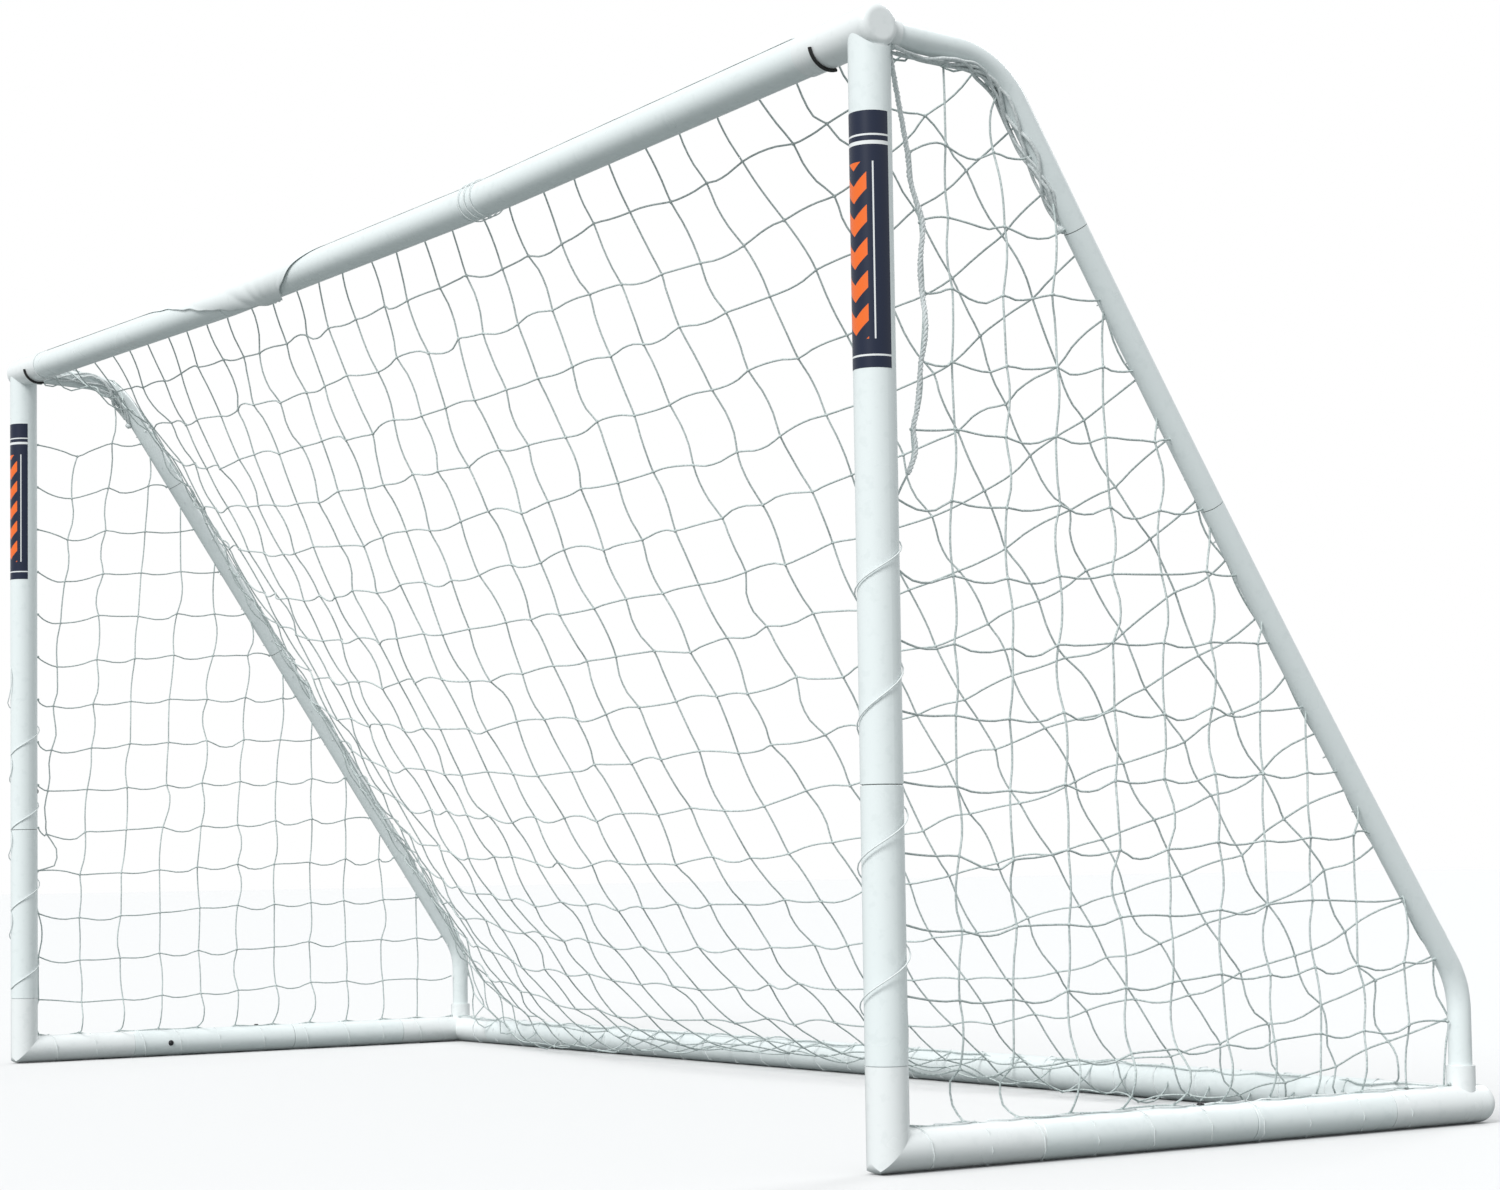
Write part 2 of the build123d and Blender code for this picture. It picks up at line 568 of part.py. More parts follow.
def build_all():
    """Make every piece of the goal."""
    make_crossbar()
    make_back_bar()
    stay_couplers = []
    for name, side in SIDES.items():
        make_posts(name, side)
        make_side_bars(name, side)
        make_top_corner(name, side)
        make_bottom_corner(name, side)
        make_rear_corner(name, side)
        stay_couplers += make_stay(name, side)
        make_label(name, side)
    parts["stay_couplers"] = stay_couplers
    make_clips()
    make_net()
    make_lacing()
    make_hem()
    make_hooks()


def solids_of(shape):
    """Every solid of a piece or of a list of pieces."""
    if isinstance(shape, list):
        return [solid for item in shape for solid in item.solids()]
    return list(shape.solids())


build_all()
os.makedirs("parts", exist_ok=True)
for node, shape in parts.items():
    solids = solids_of(shape)
    whole = solids[0] if len(solids) == 1 else Compound(children=solids)
    export_step(whole, f"parts/{node}.step")
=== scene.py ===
"""Looks of the football goal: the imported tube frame, with its net, hem and lacing made here.

Everything is in metres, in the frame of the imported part: X along the crossbar, Y from the mouth to
the back, Z up. The net hangs by a small simulation of strings that share knots.
"""
import json
import math

import bpy
import numpy as np
from mathutils import Matrix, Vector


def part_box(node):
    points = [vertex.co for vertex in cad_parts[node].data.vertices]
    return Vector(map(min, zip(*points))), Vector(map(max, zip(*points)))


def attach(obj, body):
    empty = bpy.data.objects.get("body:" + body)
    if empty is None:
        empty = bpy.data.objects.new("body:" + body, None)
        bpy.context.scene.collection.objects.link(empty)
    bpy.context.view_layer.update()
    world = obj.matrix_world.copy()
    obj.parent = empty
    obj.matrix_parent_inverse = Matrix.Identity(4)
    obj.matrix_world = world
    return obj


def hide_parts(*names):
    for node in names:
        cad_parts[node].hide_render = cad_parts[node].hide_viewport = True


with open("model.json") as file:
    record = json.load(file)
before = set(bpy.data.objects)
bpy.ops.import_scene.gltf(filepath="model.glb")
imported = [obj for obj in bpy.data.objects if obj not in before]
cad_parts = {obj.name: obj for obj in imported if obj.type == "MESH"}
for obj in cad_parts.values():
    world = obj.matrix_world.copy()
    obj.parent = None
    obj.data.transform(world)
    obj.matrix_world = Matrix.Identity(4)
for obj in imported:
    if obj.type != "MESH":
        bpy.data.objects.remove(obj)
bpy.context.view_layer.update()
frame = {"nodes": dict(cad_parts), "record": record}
nodes = frame["nodes"]
rng = np.random.default_rng(12)


def middle(node):
    """The middle of a CAD node's box."""
    low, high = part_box(node)
    return (low + high) / 2


# Places taken from the frame
TUBE_R = (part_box("post_upper_right")[1].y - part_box("post_upper_right")[0].y) / 2
STAY_R = (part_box("stay_middle_left")[1].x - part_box("stay_middle_left")[0].x) / 2
POST_X = middle("post_upper_right").x
FRONT_Y = middle("post_upper_right").y
BACK_Y = middle("back_bar_middle").y
BASE_Z = middle("back_bar_middle").z
BAR_Z = middle("crossbar_middle").z
SEAM_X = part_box("crossbar_middle")[1].x
BAR_END_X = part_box("crossbar_right")[1].x
CORNER_EXTRA_R = 0.002  # how much thicker the top corner is than the tube
CORNER_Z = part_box("top_corner_right")[1].z - (TUBE_R + CORNER_EXTRA_R)
LABEL_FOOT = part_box("label_right")[0].z
BAR_SLOPE = (CORNER_Z - BAR_Z) / (POST_X - SEAM_X)
SIDES = {"left": -1, "right": 1}

# The stays' centre line, as in the CAD
STAY_TOP_BEND = (0.250, 1.783)  # distance behind the front axis, height
STAY_FOOT_BEND_Z = 0.249
STAY_FOOT_Z = 0.067
STAY_BEND_R = 0.150
STAY_BOW = 0.020  # how far the right stay is drawn in

# Net and cord sizes
MESH = 0.116  # usual length of a mesh side
MESH_ACROSS = 0.1197  # length of a mesh side along a row of the back net
MIDDLE_LENGTH = 2.185  # length of the back net from hem to back bar in the middle
EDGE_LENGTH = 2.26  # and beside the stays
TIE_GAP = 0.004  # distance of a tied knot from the face of its tube
BACK_COLUMNS = 31
BACK_ROWS = 19
SIDE_MESH = 0.110
TWINE_R = 0.0019
KNOT_RADII = (0.0034, 0.0044)  # across and along a knot of the net
CORD_R = 0.0013  # lacing cord
CORD_GAP = 0.0006  # distance of the lacing cord from the face of its tube
ROPE_STRAND_R = 0.0024
ROW_DROP = 0.022  # how far the ties on a post lie below their row
ROW_SLACK = 1.006  # length of a side net's rows and columns, as a share of the straight distance
COLUMN_SLACK = 0.996
TWINE_PARTS = 3  # straight parts of each mesh side while it settles
ROPE_FOOT = 1.10  # height where the right border rope comes back to its post
ROPE_BULGE = 0.062  # how far it bulges back above that
BUNCH_ENDS = {"left": 0.36, "right": 0.55}  # how far along each stay its bunched net edge reaches
BUNCH_STRANDS = 6
BUNCH_SAMPLES = 46
BUNCH_TURNS = {"left": -0.2, "right": 1.6}  # where round the stay it lies: 0 inside, pi/2 on top
LEAN = 0.10  # how far back the left side net's columns lean, for each metre of height
LEAN_FOOT = 0.60  # height above which they lean


def unit(vectors):
    """Vectors made one long."""
    return vectors / np.linalg.norm(vectors, axis=-1, keepdims=True)


def bar_height(x):
    """Height of the crossbar's axis at x."""
    return BAR_Z + BAR_SLOPE * np.maximum(0.0, np.abs(x) - SEAM_X)


# Routes ---------------------------------------------------------------------------------------

def rounded(corners, radius, steps=10):
    """A polyline through the corners, with its inner corners rounded."""
    points = [corners[0]]
    for before, corner, after in zip(corners, corners[1:], corners[2:]):
        towards = unit(before - corner)
        onwards = unit(after - corner)
        half = math.acos(float(towards @ onwards)) / 2
        start = corner + towards * radius / math.tan(half)
        end = corner + onwards * radius / math.tan(half)
        centre = corner + unit(towards + onwards) * radius / math.sin(half)
        for share in np.linspace(0, 1, steps):
            spoke = (start - centre) * (1 - share) + (end - centre) * share
            points.append(centre + unit(spoke) * radius)
    points.append(corners[-1])
    return np.array(points)


class Route:
    """A line in space that is read by the distance along it."""

    def __init__(self, points):
        self.points = np.array(points, float)
        steps = np.linalg.norm(np.diff(self.points, axis=0), axis=1)
        self.reach = np.concatenate([[0.0], np.cumsum(steps)])
        self.length = self.reach[-1]

    def at(self, distance):
        """The point at a distance along the line."""
        return np.array([np.interp(distance, self.reach, self.points[:, k]) for k in range(3)]).T

    def along(self, distance):
        """Unit direction of the line at a distance along it."""
        step = 0.004
        return unit(self.at(distance + step) - self.at(distance - step))


def stay_route(side):
    """A stay's centre line, from the top corner down to its foot."""
    x = side * POST_X
    corners = np.array([
        (x, FRONT_Y, CORNER_Z),
        (x, FRONT_Y + STAY_TOP_BEND[0], STAY_TOP_BEND[1]),
        (x, BACK_Y, STAY_FOOT_BEND_Z),
        (x, BACK_Y, STAY_FOOT_Z),
    ])
    line = Route(rounded(corners, STAY_BEND_R))
    if side < 0:
        return line
    distances = np.linspace(0, line.length, 160)
    points = line.at(distances)
    start = STAY_TOP_BEND[0] + STAY_BEND_R / 2
    end = line.length - (STAY_FOOT_BEND_Z - STAY_FOOT_Z)
    share = np.clip((distances - start) / (end - start), 0, 1)
    points[:, 0] -= STAY_BOW * 4 * share * (1 - share)
    return Route(points)


STAYS = {name: stay_route(side) for name, side in SIDES.items()}


# Meshes ---------------------------------------------------------------------------------------

def smooth(line, parts=3):
    """A Catmull-Rom curve through the line's points."""
    line = np.asarray(line, float)
    if len(line) < 3:
        return line
    ends = np.vstack([2 * line[0] - line[1], line, 2 * line[-1] - line[-2]])
    p0, p1, p2, p3 = ends[:-3], ends[1:-2], ends[2:-1], ends[3:]
    pieces = []
    for index in range(parts):
        t = index / parts
        pieces.append(0.5 * (
            2 * p1 + (p2 - p0) * t + (2 * p0 - 5 * p1 + 4 * p2 - p3) * t ** 2
            + (3 * p1 - p0 - 3 * p2 + p3) * t ** 3
        ))
    inner = np.stack(pieces, axis=1).reshape(-1, 3)
    return np.vstack([inner, line[-1:]])


class Shape:
    """Vertices and faces gathered for one mesh object."""

    def __init__(self):
        self.vertices = []
        self.faces = []

    def add(self, vertices, faces):
        """Add a closed piece; its faces count from its own first vertex."""
        base = len(self.vertices)
        self.vertices.extend(map(tuple, vertices))
        self.faces.extend([tuple(base + index for index in face) for face in faces])

    def tube(self, line, radius, sides=5):
        """A round closed string along a line; radius is one number or one for each point."""
        line = np.asarray(line, float)
        count = len(line)
        radii = np.broadcast_to(radius, (count,))
        along = unit(np.gradient(line, axis=0))
        across = np.cross(along[0], (0.31, 0.17, 0.93))
        rings = []
        turn = np.arange(sides) * 2 * math.pi / sides
        for index in range(count):
            across = across - along[index] * (across @ along[index])
            across = across / np.linalg.norm(across)
            other = np.cross(along[index], across)
            rings.append(
                line[index]
                + radii[index] * (np.outer(np.cos(turn), across) + np.outer(np.sin(turn), other))
            )
        faces = []
        for index in range(count - 1):
            low, high = index * sides, (index + 1) * sides
            for k in range(sides):
                nxt = (k + 1) % sides
                faces.append((low + k, low + nxt, high + nxt, high + k))
        last = (count - 1) * sides
        faces.append(tuple(reversed(range(sides))))
        faces.append(tuple(last + k for k in range(sides)))
        self.add(np.vstack(rings), faces)

    def blob(self, centre, radii, sides=6):
        """A small closed knot."""
        spin = rng.uniform(0, 2 * math.pi)
        turn = np.arange(sides) * 2 * math.pi / sides + spin
        tilt = unit(rng.normal(size=3))
        across = unit(np.cross(tilt, (0.2, 0.9, 0.4)))
        other = np.cross(tilt, across)
        vertices = [centre - tilt * radii[1]]
        for height, width in ((-0.55, 0.82), (0.55, 0.82)):
            for angle in turn:
                spoke = across * math.cos(angle) + other * math.sin(angle)
                vertices.append(centre + tilt * height * radii[1] + spoke * width * radii[0])
        vertices.append(centre + tilt * radii[1])
        faces = []
        for k in range(sides):
            nxt = (k + 1) % sides
            faces.append((0, 1 + nxt, 1 + k))
            faces.append((1 + k, 1 + nxt, 1 + sides + nxt, 1 + sides + k))
            faces.append((1 + sides + k, 1 + sides + nxt, 1 + 2 * sides))
        self.add(vertices, faces)

    def finish(self, name, material, replaced=()):
        """Make the Blender object, attach it to the goal's body and hide the CAD parts it replaces."""
        mesh = bpy.data.meshes.new(name)
        mesh.from_pydata(self.vertices, [], self.faces)
        mesh.shade_smooth()
        mesh.materials.append(material)
        made = bpy.data.objects.new(name, mesh)
        bpy.context.scene.collection.objects.link(made)
        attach(made, "goal")
        if replaced:
            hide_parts(*replaced)
        return made


# The net as strings that share knots --------------------------------------------------------------

class Web:
    """Strings that share knots, with the places where they are tied to the frame."""

    def __init__(self):
        self.places = []
        self.pinned = []
        self.pairs = []
        self.rests = []
        self.strings = []
        self.knots = []

    def point(self, place, pinned=False):
        """Add a point of twine; a pinned one is tied to the frame."""
        self.places.append(np.array(place, float))
        self.pinned.append(pinned)
        return len(self.places) - 1

    def knot(self, place, pinned=False):
        """Add a point that two strings share."""
        index = self.point(place, pinned)
        self.knots.append(index)
        return index

    def string(self, knots, side_length):
        """Run a string through the knots, with every mesh side of a given length."""
        lengths = np.broadcast_to(side_length, (len(knots) - 1,))
        line = [knots[0]]
        for start, end, length in zip(knots, knots[1:], lengths):
            for part in range(1, TWINE_PARTS):
                share = part / TWINE_PARTS
                place = self.places[start] * (1 - share) + self.places[end] * share
                line.append(self.point(place))
            line.append(end)
            for a, b in zip(line[-TWINE_PARTS - 1:], line[-TWINE_PARTS:]):
                self.pairs.append((a, b))
                self.rests.append(length / TWINE_PARTS)
        self.strings.append(line)
        return line


def in_groups(pairs, rests):
    """Split pairs into groups in which no point comes twice, so each group is solved at once."""
    used = []
    members = []
    for index, (a, b) in enumerate(pairs):
        for group, points in enumerate(used):
            if a not in points and b not in points:
                break
        else:
            used.append(set())
            members.append([])
            group = len(used) - 1
        used[group].update((a, b))
        members[group].append(index)
    pairs = np.array(pairs)
    rests = np.array(rests)
    return [(pairs[m][:, 0], pairs[m][:, 1], rests[m]) for m in members]


STEPS_EACH_SECOND = 240
GRAVITY_STEP = 9.81 / STEPS_EACH_SECOND ** 2
KEEP_SPEED = 0.992  # share of its speed that a point keeps from step to step
PUSH_BACK = 0.3  # how strongly a slack part resists being shortened
STRAIGHTENING = 0.12  # how strongly twine resists a sharp bend
STRAIGHT_SHARE = 1.9  # two parts in a row are pushed straight below this many part lengths
FIRST_SCATTER = 0.006  # random start that lets the strings fall to different sides
FLOOR_Z = 0.0025


def keep_outside(places, free, start, end, radius):
    """Move free points out of a round bar."""
    axis = end - start
    share = np.clip(((places - start) @ axis) / (axis @ axis), 0, 1)
    nearest = start + share[:, None] * axis
    away = places - nearest
    distance = np.linalg.norm(away, axis=1)
    inside = free & (distance < radius) & (distance > 1e-6)
    places[inside] = nearest[inside] + away[inside] * (radius / distance[inside])[:, None]


def settle(web, bars, steps=2600, rounds=9):
    """Let the web hang under gravity from its pinned points, outside the bars."""
    places = np.array(web.places)
    free = ~np.array(web.pinned)
    weight = free.astype(float)
    groups = in_groups(web.pairs, web.rests)
    bends = []
    bend_rests = []
    for line in web.strings:
        for a, b in zip(line, line[2:]):
            bends.append((a, b))
            bend_rests.append(STRAIGHT_SHARE * MESH / TWINE_PARTS)
    bend_groups = in_groups(bends, bend_rests)
    places[free] += rng.normal(scale=FIRST_SCATTER, size=(int(free.sum()), 3))
    before = places.copy()
    for step in range(steps):
        moved = (places - before) * KEEP_SPEED
        before = places.copy()
        places += weight[:, None] * moved
        places[:, 2] -= weight * GRAVITY_STEP
        for solve in range(rounds):
            for a, b, rest in groups:
                apart = places[b] - places[a]
                length = np.linalg.norm(apart, axis=1)
                push = np.where(length > rest, 1.0, PUSH_BACK)
                total = np.maximum(weight[a] + weight[b], 1e-9)
                shift = apart * (push * (length - rest) / (length * total))[:, None]
                places[a] += shift * weight[a][:, None]
                places[b] -= shift * weight[b][:, None]
        for a, b, rest in bend_groups:
            apart = places[b] - places[a]
            length = np.linalg.norm(apart, axis=1)
            push = np.where(length < rest, STRAIGHTENING, 0.0)
            total = np.maximum(weight[a] + weight[b], 1e-9)
            shift = apart * (push * (length - rest) / (length * total))[:, None]
            places[a] += shift * weight[a][:, None]
            places[b] -= shift * weight[b][:, None]
        for start, end, radius in bars:
            keep_outside(places, free, start, end, radius)
        low = free & (places[:, 2] < FLOOR_Z)
        places[low, 2] = FLOOR_Z
        places[low, :2] = before[low, :2]
    return places


def waved(web, places, knot_size=0.006, bow_size=0.005):
    """Add the bends that knotted twine keeps: shifted knots, and a bow in every mesh side."""
    free = ~np.array(web.pinned)
    shift = np.zeros_like(places)
    for index in web.knots:
        shift[index] = rng.normal(size=3).clip(-1.8, 1.8) * knot_size * free[index]
    for line in web.strings:
        for start in range(0, len(line) - 1, TWINE_PARTS):
            first, last = line[start], line[start + TWINE_PARTS]
            bow = rng.normal(size=3).clip(-1.8, 1.8) * bow_size
            for part in range(1, TWINE_PARTS):
                share = part / TWINE_PARTS
                between_ends = shift[first] * (1 - share) + shift[last] * share
                shift[line[start + part]] = between_ends + bow
    places = places + shift
    places[:, 2] = np.maximum(places[:, 2], FLOOR_Z)
    return places


def weave(web, places, name, material, replaced):
    """Turn the settled web into one mesh of twine and knots."""
    shape = Shape()
    for line in web.strings:
        shape.tube(smooth(places[line], 2), TWINE_R)
    for index in web.knots:
        shape.blob(places[index], KNOT_RADII)
    return shape.finish(name, material, replaced)


FRAME_BARS = [
    (np.array([-POST_X, BACK_Y, BASE_Z]), np.array([POST_X, BACK_Y, BASE_Z]), TUBE_R + TWINE_R),
    (np.array([-SEAM_X, FRONT_Y, BAR_Z]), np.array([SEAM_X, FRONT_Y, BAR_Z]), TUBE_R + TWINE_R),
]


def back_web():
    """Roof and back of the net: tied along the hem, both stays and the back bar.

    It is tied above the left stay and inside the right one.
    """
    web = Web()
    length = STAYS["left"].length
    hem_angle = math.radians(10)
    hem_r = TUBE_R + CORNER_EXTRA_R
    grid = []
    for row in range(BACK_ROWS + 1):
        distance = length * row / BACK_ROWS
        above = np.cross((1.0, 0.0, 0.0), STAYS["left"].along(distance))
        left = STAYS["left"].at(distance) + above * (STAY_R + TIE_GAP)
        right = STAYS["right"].at(distance) - np.array([STAY_R + TIE_GAP, 0.0, 0.0])
        knots = []
        for column in range(BACK_COLUMNS + 1):
            place = left + (right - left) * column / BACK_COLUMNS
            if row == 0:
                place[1] = FRONT_Y + hem_r * math.cos(hem_angle)
                place[2] = bar_height(place[0]) + hem_r * math.sin(hem_angle)
            if row == BACK_ROWS:
                place[1] = BACK_Y - TUBE_R * 0.5
                place[2] = BASE_Z + TUBE_R * 0.92
            edge = row in (0, BACK_ROWS) or column in (0, BACK_COLUMNS)
            knots.append(web.knot(place, edge))
        grid.append(knots)
    span = (2 * POST_X - 2 * STAY_R) / BACK_COLUMNS
    for row, knots in enumerate(grid):
        web.string(knots, span if row in (0, BACK_ROWS) else MESH_ACROSS)
    for column in range(BACK_COLUMNS + 1):
        sideways = abs(2 * column / BACK_COLUMNS - 1)
        drop = MIDDLE_LENGTH + (EDGE_LENGTH - MIDDLE_LENGTH) * sideways ** 3
        web.string([knots[column] for knots in grid], drop / BACK_ROWS)
    return web


def side_web(name, side):
    """One side of the net: tied to the post, the side bar and the stay.

    The right side's front edge is a border rope that bulges back from its post above a tie.
    """
    web = Web()
    stay = STAYS[name]
    x = side * POST_X
    front = FRONT_Y + TUBE_R + TIE_GAP
    foot = BASE_Z + TUBE_R + 0.003
    top = CORNER_Z - TUBE_R - 0.02
    columns = np.arange(front, BACK_Y - 0.05, SIDE_MESH)
    rows = np.linspace(foot, top, int((top - foot) / SIDE_MESH) + 1)
    slope = stay.points[stay.points[:, 1] < BACK_Y - 0.001]
    margin = STAY_R + TIE_GAP

    def stay_height(y):
        """Height of the stay's lower face at y."""
        return np.interp(y, slope[:, 1], slope[:, 2]) - margin * 1.3

    def stay_depth(z):
        """How far back the stay's lower face is at a height."""
        return np.interp(-z, -stay.points[:, 2], stay.points[:, 1]) - margin * 1.2

    def leaned(y, z):
        """Where a column that starts at y stands at a height."""
        return y + (LEAN * max(0.0, z - LEAN_FOOT) if side < 0 else 0.0)

    def gaps(chain):
        """Straight distances between a chain's knots."""
        return np.array([np.linalg.norm(web.places[a] - web.places[b])
                         for a, b in zip(chain, chain[1:])])

    grid = {}
    for i, z in enumerate(rows):
        for j, column in enumerate(columns):
            y = leaned(column, z)
            if j == 0 and side > 0 and z > ROPE_FOOT:
                y += ROPE_BULGE * math.sin(math.pi * (z - ROPE_FOOT) / (top - ROPE_FOOT)) ** 0.7
            if z < stay_height(y) - 0.03 and y < stay_depth(z) - 0.03:
                on_post = j == 0 and not (side < 0 and z > LEAN_FOOT)
                drop = ROW_DROP if on_post and 0 < z - foot else 0.0
                grid[i, j] = web.knot((x, y, z - drop), i == 0 or on_post)
    for i, z in enumerate(rows):
        chain = [grid[i, j] for j in range(len(columns)) if (i, j) in grid]
        if not chain:
            continue
        if side < 0 and z > LEAN_FOOT:
            chain.insert(0, web.knot((x, front, z - ROW_DROP), True))
        chain.append(web.knot((x, stay_depth(z), z), True))
        web.string(chain, gaps(chain) * ROW_SLACK)
    rope = None
    for j, column in enumerate(columns):
        chain = [grid[i, j] for i in range(len(rows)) if (i, j) in grid]
        if j > 0:
            y = web.places[chain[-1]][1]
            chain.append(web.knot((x, y, stay_height(y)), True))
        line = web.string(chain, gaps(chain) * COLUMN_SLACK)
        if j == 0:
            rope = line
    return web, rope


# Lacing -------------------------------------------------------------------------------------------

def wound(route, places, radius, rest_angle, across, loose=0.0, overlap=0.32):
    """A cord that takes one turn round a bar at each place and runs on beside it between them."""
    across = np.array(across, float)
    line = []
    for start, end in zip(places, places[1:]):
        extra = loose * rng.uniform(0.2, 1.0)
        reach = overlap * rng.uniform(0.8, 1.25)
        for share in np.linspace(0, 1, 26, endpoint=False):
            distance = start + (end - start) * share
            turned = np.clip(share / reach, 0, 1)
            angle = rest_angle + 2 * math.pi * turned
            if share > reach:
                rest_share = (share - reach) / (1 - reach)
                angle += 0.25 * math.sin(rest_share * math.pi)
            lift = extra * math.sin(math.pi * share) ** 2
            along = route.along(distance)
            side_way = unit(across - along * (across @ along))
            up_way = np.cross(along, side_way)
            spoke = side_way * math.cos(angle) + up_way * math.sin(angle)
            line.append(route.at(distance) + spoke * (radius + CORD_R + CORD_GAP + lift))
    line = np.array(line)
    line[:, 2] = np.maximum(line[:, 2], 0.0)
    return line


def laced_places(start, end, pitch=0.108, wander=0.012):
    """Places about one mesh apart, as even as a hand ties them."""
    count = int(abs(end - start) / pitch)
    places = np.linspace(start, end, count + 1)
    places[1:-1] += rng.uniform(-wander, wander, count - 1)
    return places


def make_lacing(material):
    """The cord that ties the net to the posts, the ground bars and the stays.

    Three turns of it also whip the hem to the crossbar's right seam.
    """
    shape = Shape()
    for name, side in SIDES.items():
        bar = Route([(side * POST_X, FRONT_Y, BASE_Z), (side * POST_X, BACK_Y, BASE_Z)])
        places = laced_places(0.05, bar.length - 0.06)
        shape.tube(wound(bar, places, TUBE_R, math.pi / 2, (-side, 0, 0), 0.001), CORD_R, 6)
        stay = STAYS[name]
        places = laced_places(BUNCH_ENDS[name] + 0.02, stay.length - 0.12)
        on_top = side * math.pi / 2
        shape.tube(
            wound(stay, places, STAY_R, on_top, (-side, 0, 0), 0.001, 0.13), CORD_R, 6
        )
        post = Route([(side * POST_X, FRONT_Y, 0.14), (side * POST_X, FRONT_Y, 1.05)])
        places = laced_places(0.05, post.length - 0.02, 0.2, 0.03)
        shape.tube(
            wound(post, places, TUBE_R, math.pi / 2, (side, 0, 0), 0.006, 0.75), CORD_R, 6
        )
    back = Route([(-POST_X, BACK_Y, BASE_Z), (POST_X, BACK_Y, BASE_Z)])
    places = laced_places(0.10, back.length - 0.10, MESH)
    shape.tube(wound(back, places, TUBE_R, math.pi / 2, (0, -1, 0), 0.001), CORD_R, 6)
    bar = Route([(SEAM_X, FRONT_Y, BAR_Z), (BAR_END_X, FRONT_Y, bar_height(BAR_END_X))])
    places = np.array([0.0, 0.022, 0.047, 0.070])
    shape.tube(wound(bar, places, TUBE_R + 0.002, 0.6, (0, 1, 0), 0.0, 1.0), CORD_R, 6)
    return shape.finish("lacing", material, ["lacing_cord"])


# Ropes and bunches --------------------------------------------------------------------------------

def twisted(line, strand_r, strands=3, twist=260.0):
    """Strands laid round each other along a line."""
    route = Route(line)
    distances = np.arange(0, route.length, 0.006)
    made = []
    points = route.at(distances)
    along = unit(np.gradient(points, axis=0))
    across = unit(np.cross(along, (0.9, 0.3, 0.1)))
    other = np.cross(along, across)
    for strand in range(strands):
        angle = distances * twist + 2 * math.pi * strand / strands
        offset = np.cos(angle)[:, None] * across + np.sin(angle)[:, None] * other
        made.append(points + offset * strand_r * 1.1)
    return made


def make_border_rope(edge, material):
    """The thick rope along the free front edge of the right side net, up to the top corner."""
    shape = Shape()
    hanging = edge[edge[:, 2] > ROPE_FOOT - SIDE_MESH / 3]
    top = np.array([POST_X, FRONT_Y + TUBE_R + 0.006, CORNER_Z - TUBE_R])
    line = smooth(np.vstack([hanging, top]), 3)
    sway = 0.004 * np.sin(np.linspace(0, 19, len(line)))
    line = line + np.outer(sway, (0.5, 1.0, 0.0))
    for strand in twisted(line, ROPE_STRAND_R):
        shape.tube(strand, ROPE_STRAND_R, 6)
    return shape.finish("border_rope", material)


def make_bunches(material):
    """The slack edge of the net, gathered along the first stretch of each stay."""
    shape = Shape()
    for name, side in SIDES.items():
        stay = STAYS[name]
        reach = BUNCH_ENDS[name]
        inward = np.array([-side, 0.0, 0.0])
        for strand in range(BUNCH_STRANDS):
            first = rng.uniform(0.035, 0.06)
            last = reach - rng.uniform(0, 0.03)
            distances = np.linspace(first, last, BUNCH_SAMPLES)
            swing = rng.uniform(0.3, 0.7)
            phase = rng.uniform(0, 2 * math.pi)
            speed = rng.uniform(16, 30)
            drift = rng.normal(scale=0.03, size=BUNCH_SAMPLES).cumsum()
            taper = np.clip((reach - distances) / 0.08, 0, 1)
            angle = BUNCH_TURNS[name] + (swing * np.sin(distances * speed + phase) + drift) * taper
            if side < 0:
                angle += 1.9 * (distances / reach) ** 3
            lift = STAY_R + 0.0030 + 0.006 * np.abs(np.sin(distances * 9 + phase)) * taper
            along = np.array([stay.along(d) for d in distances])
            up = np.cross(along, inward) * -side
            line = stay.at(distances) + lift[:, None] * (
                np.cos(angle)[:, None] * inward + np.sin(angle)[:, None] * up
            )
            shape.tube(smooth(line, 2), ROPE_STRAND_R * rng.uniform(0.9, 1.5), 6)
        up = np.cross(stay.along(reach), inward) * -side
        shape.blob(stay.at(reach - 0.01) + up * (STAY_R + 0.006), (0.008, 0.009), 8)
    return shape.finish("net_edge_bunches", material)


# The hem over the crossbar --------------------------------------------------------------------------

HEM_PLACES = (-1.05, -0.85, -0.60, -0.42, -0.31, -0.24, -0.14, -0.06)  # along the crossbar
HEM_ANGLES = (112.0, 150.0, 212.0, 258.0, 288.0, 222.0, 152.0, 112.0)  # of its front edge there
HEM_REAR = 20.0  # angle of its rear edge; all are measured up from straight back
HEM_THICKNESS = 0.0007
HEM_ROWS = 46
PINCH_X = -0.31  # where it is tied under the bar


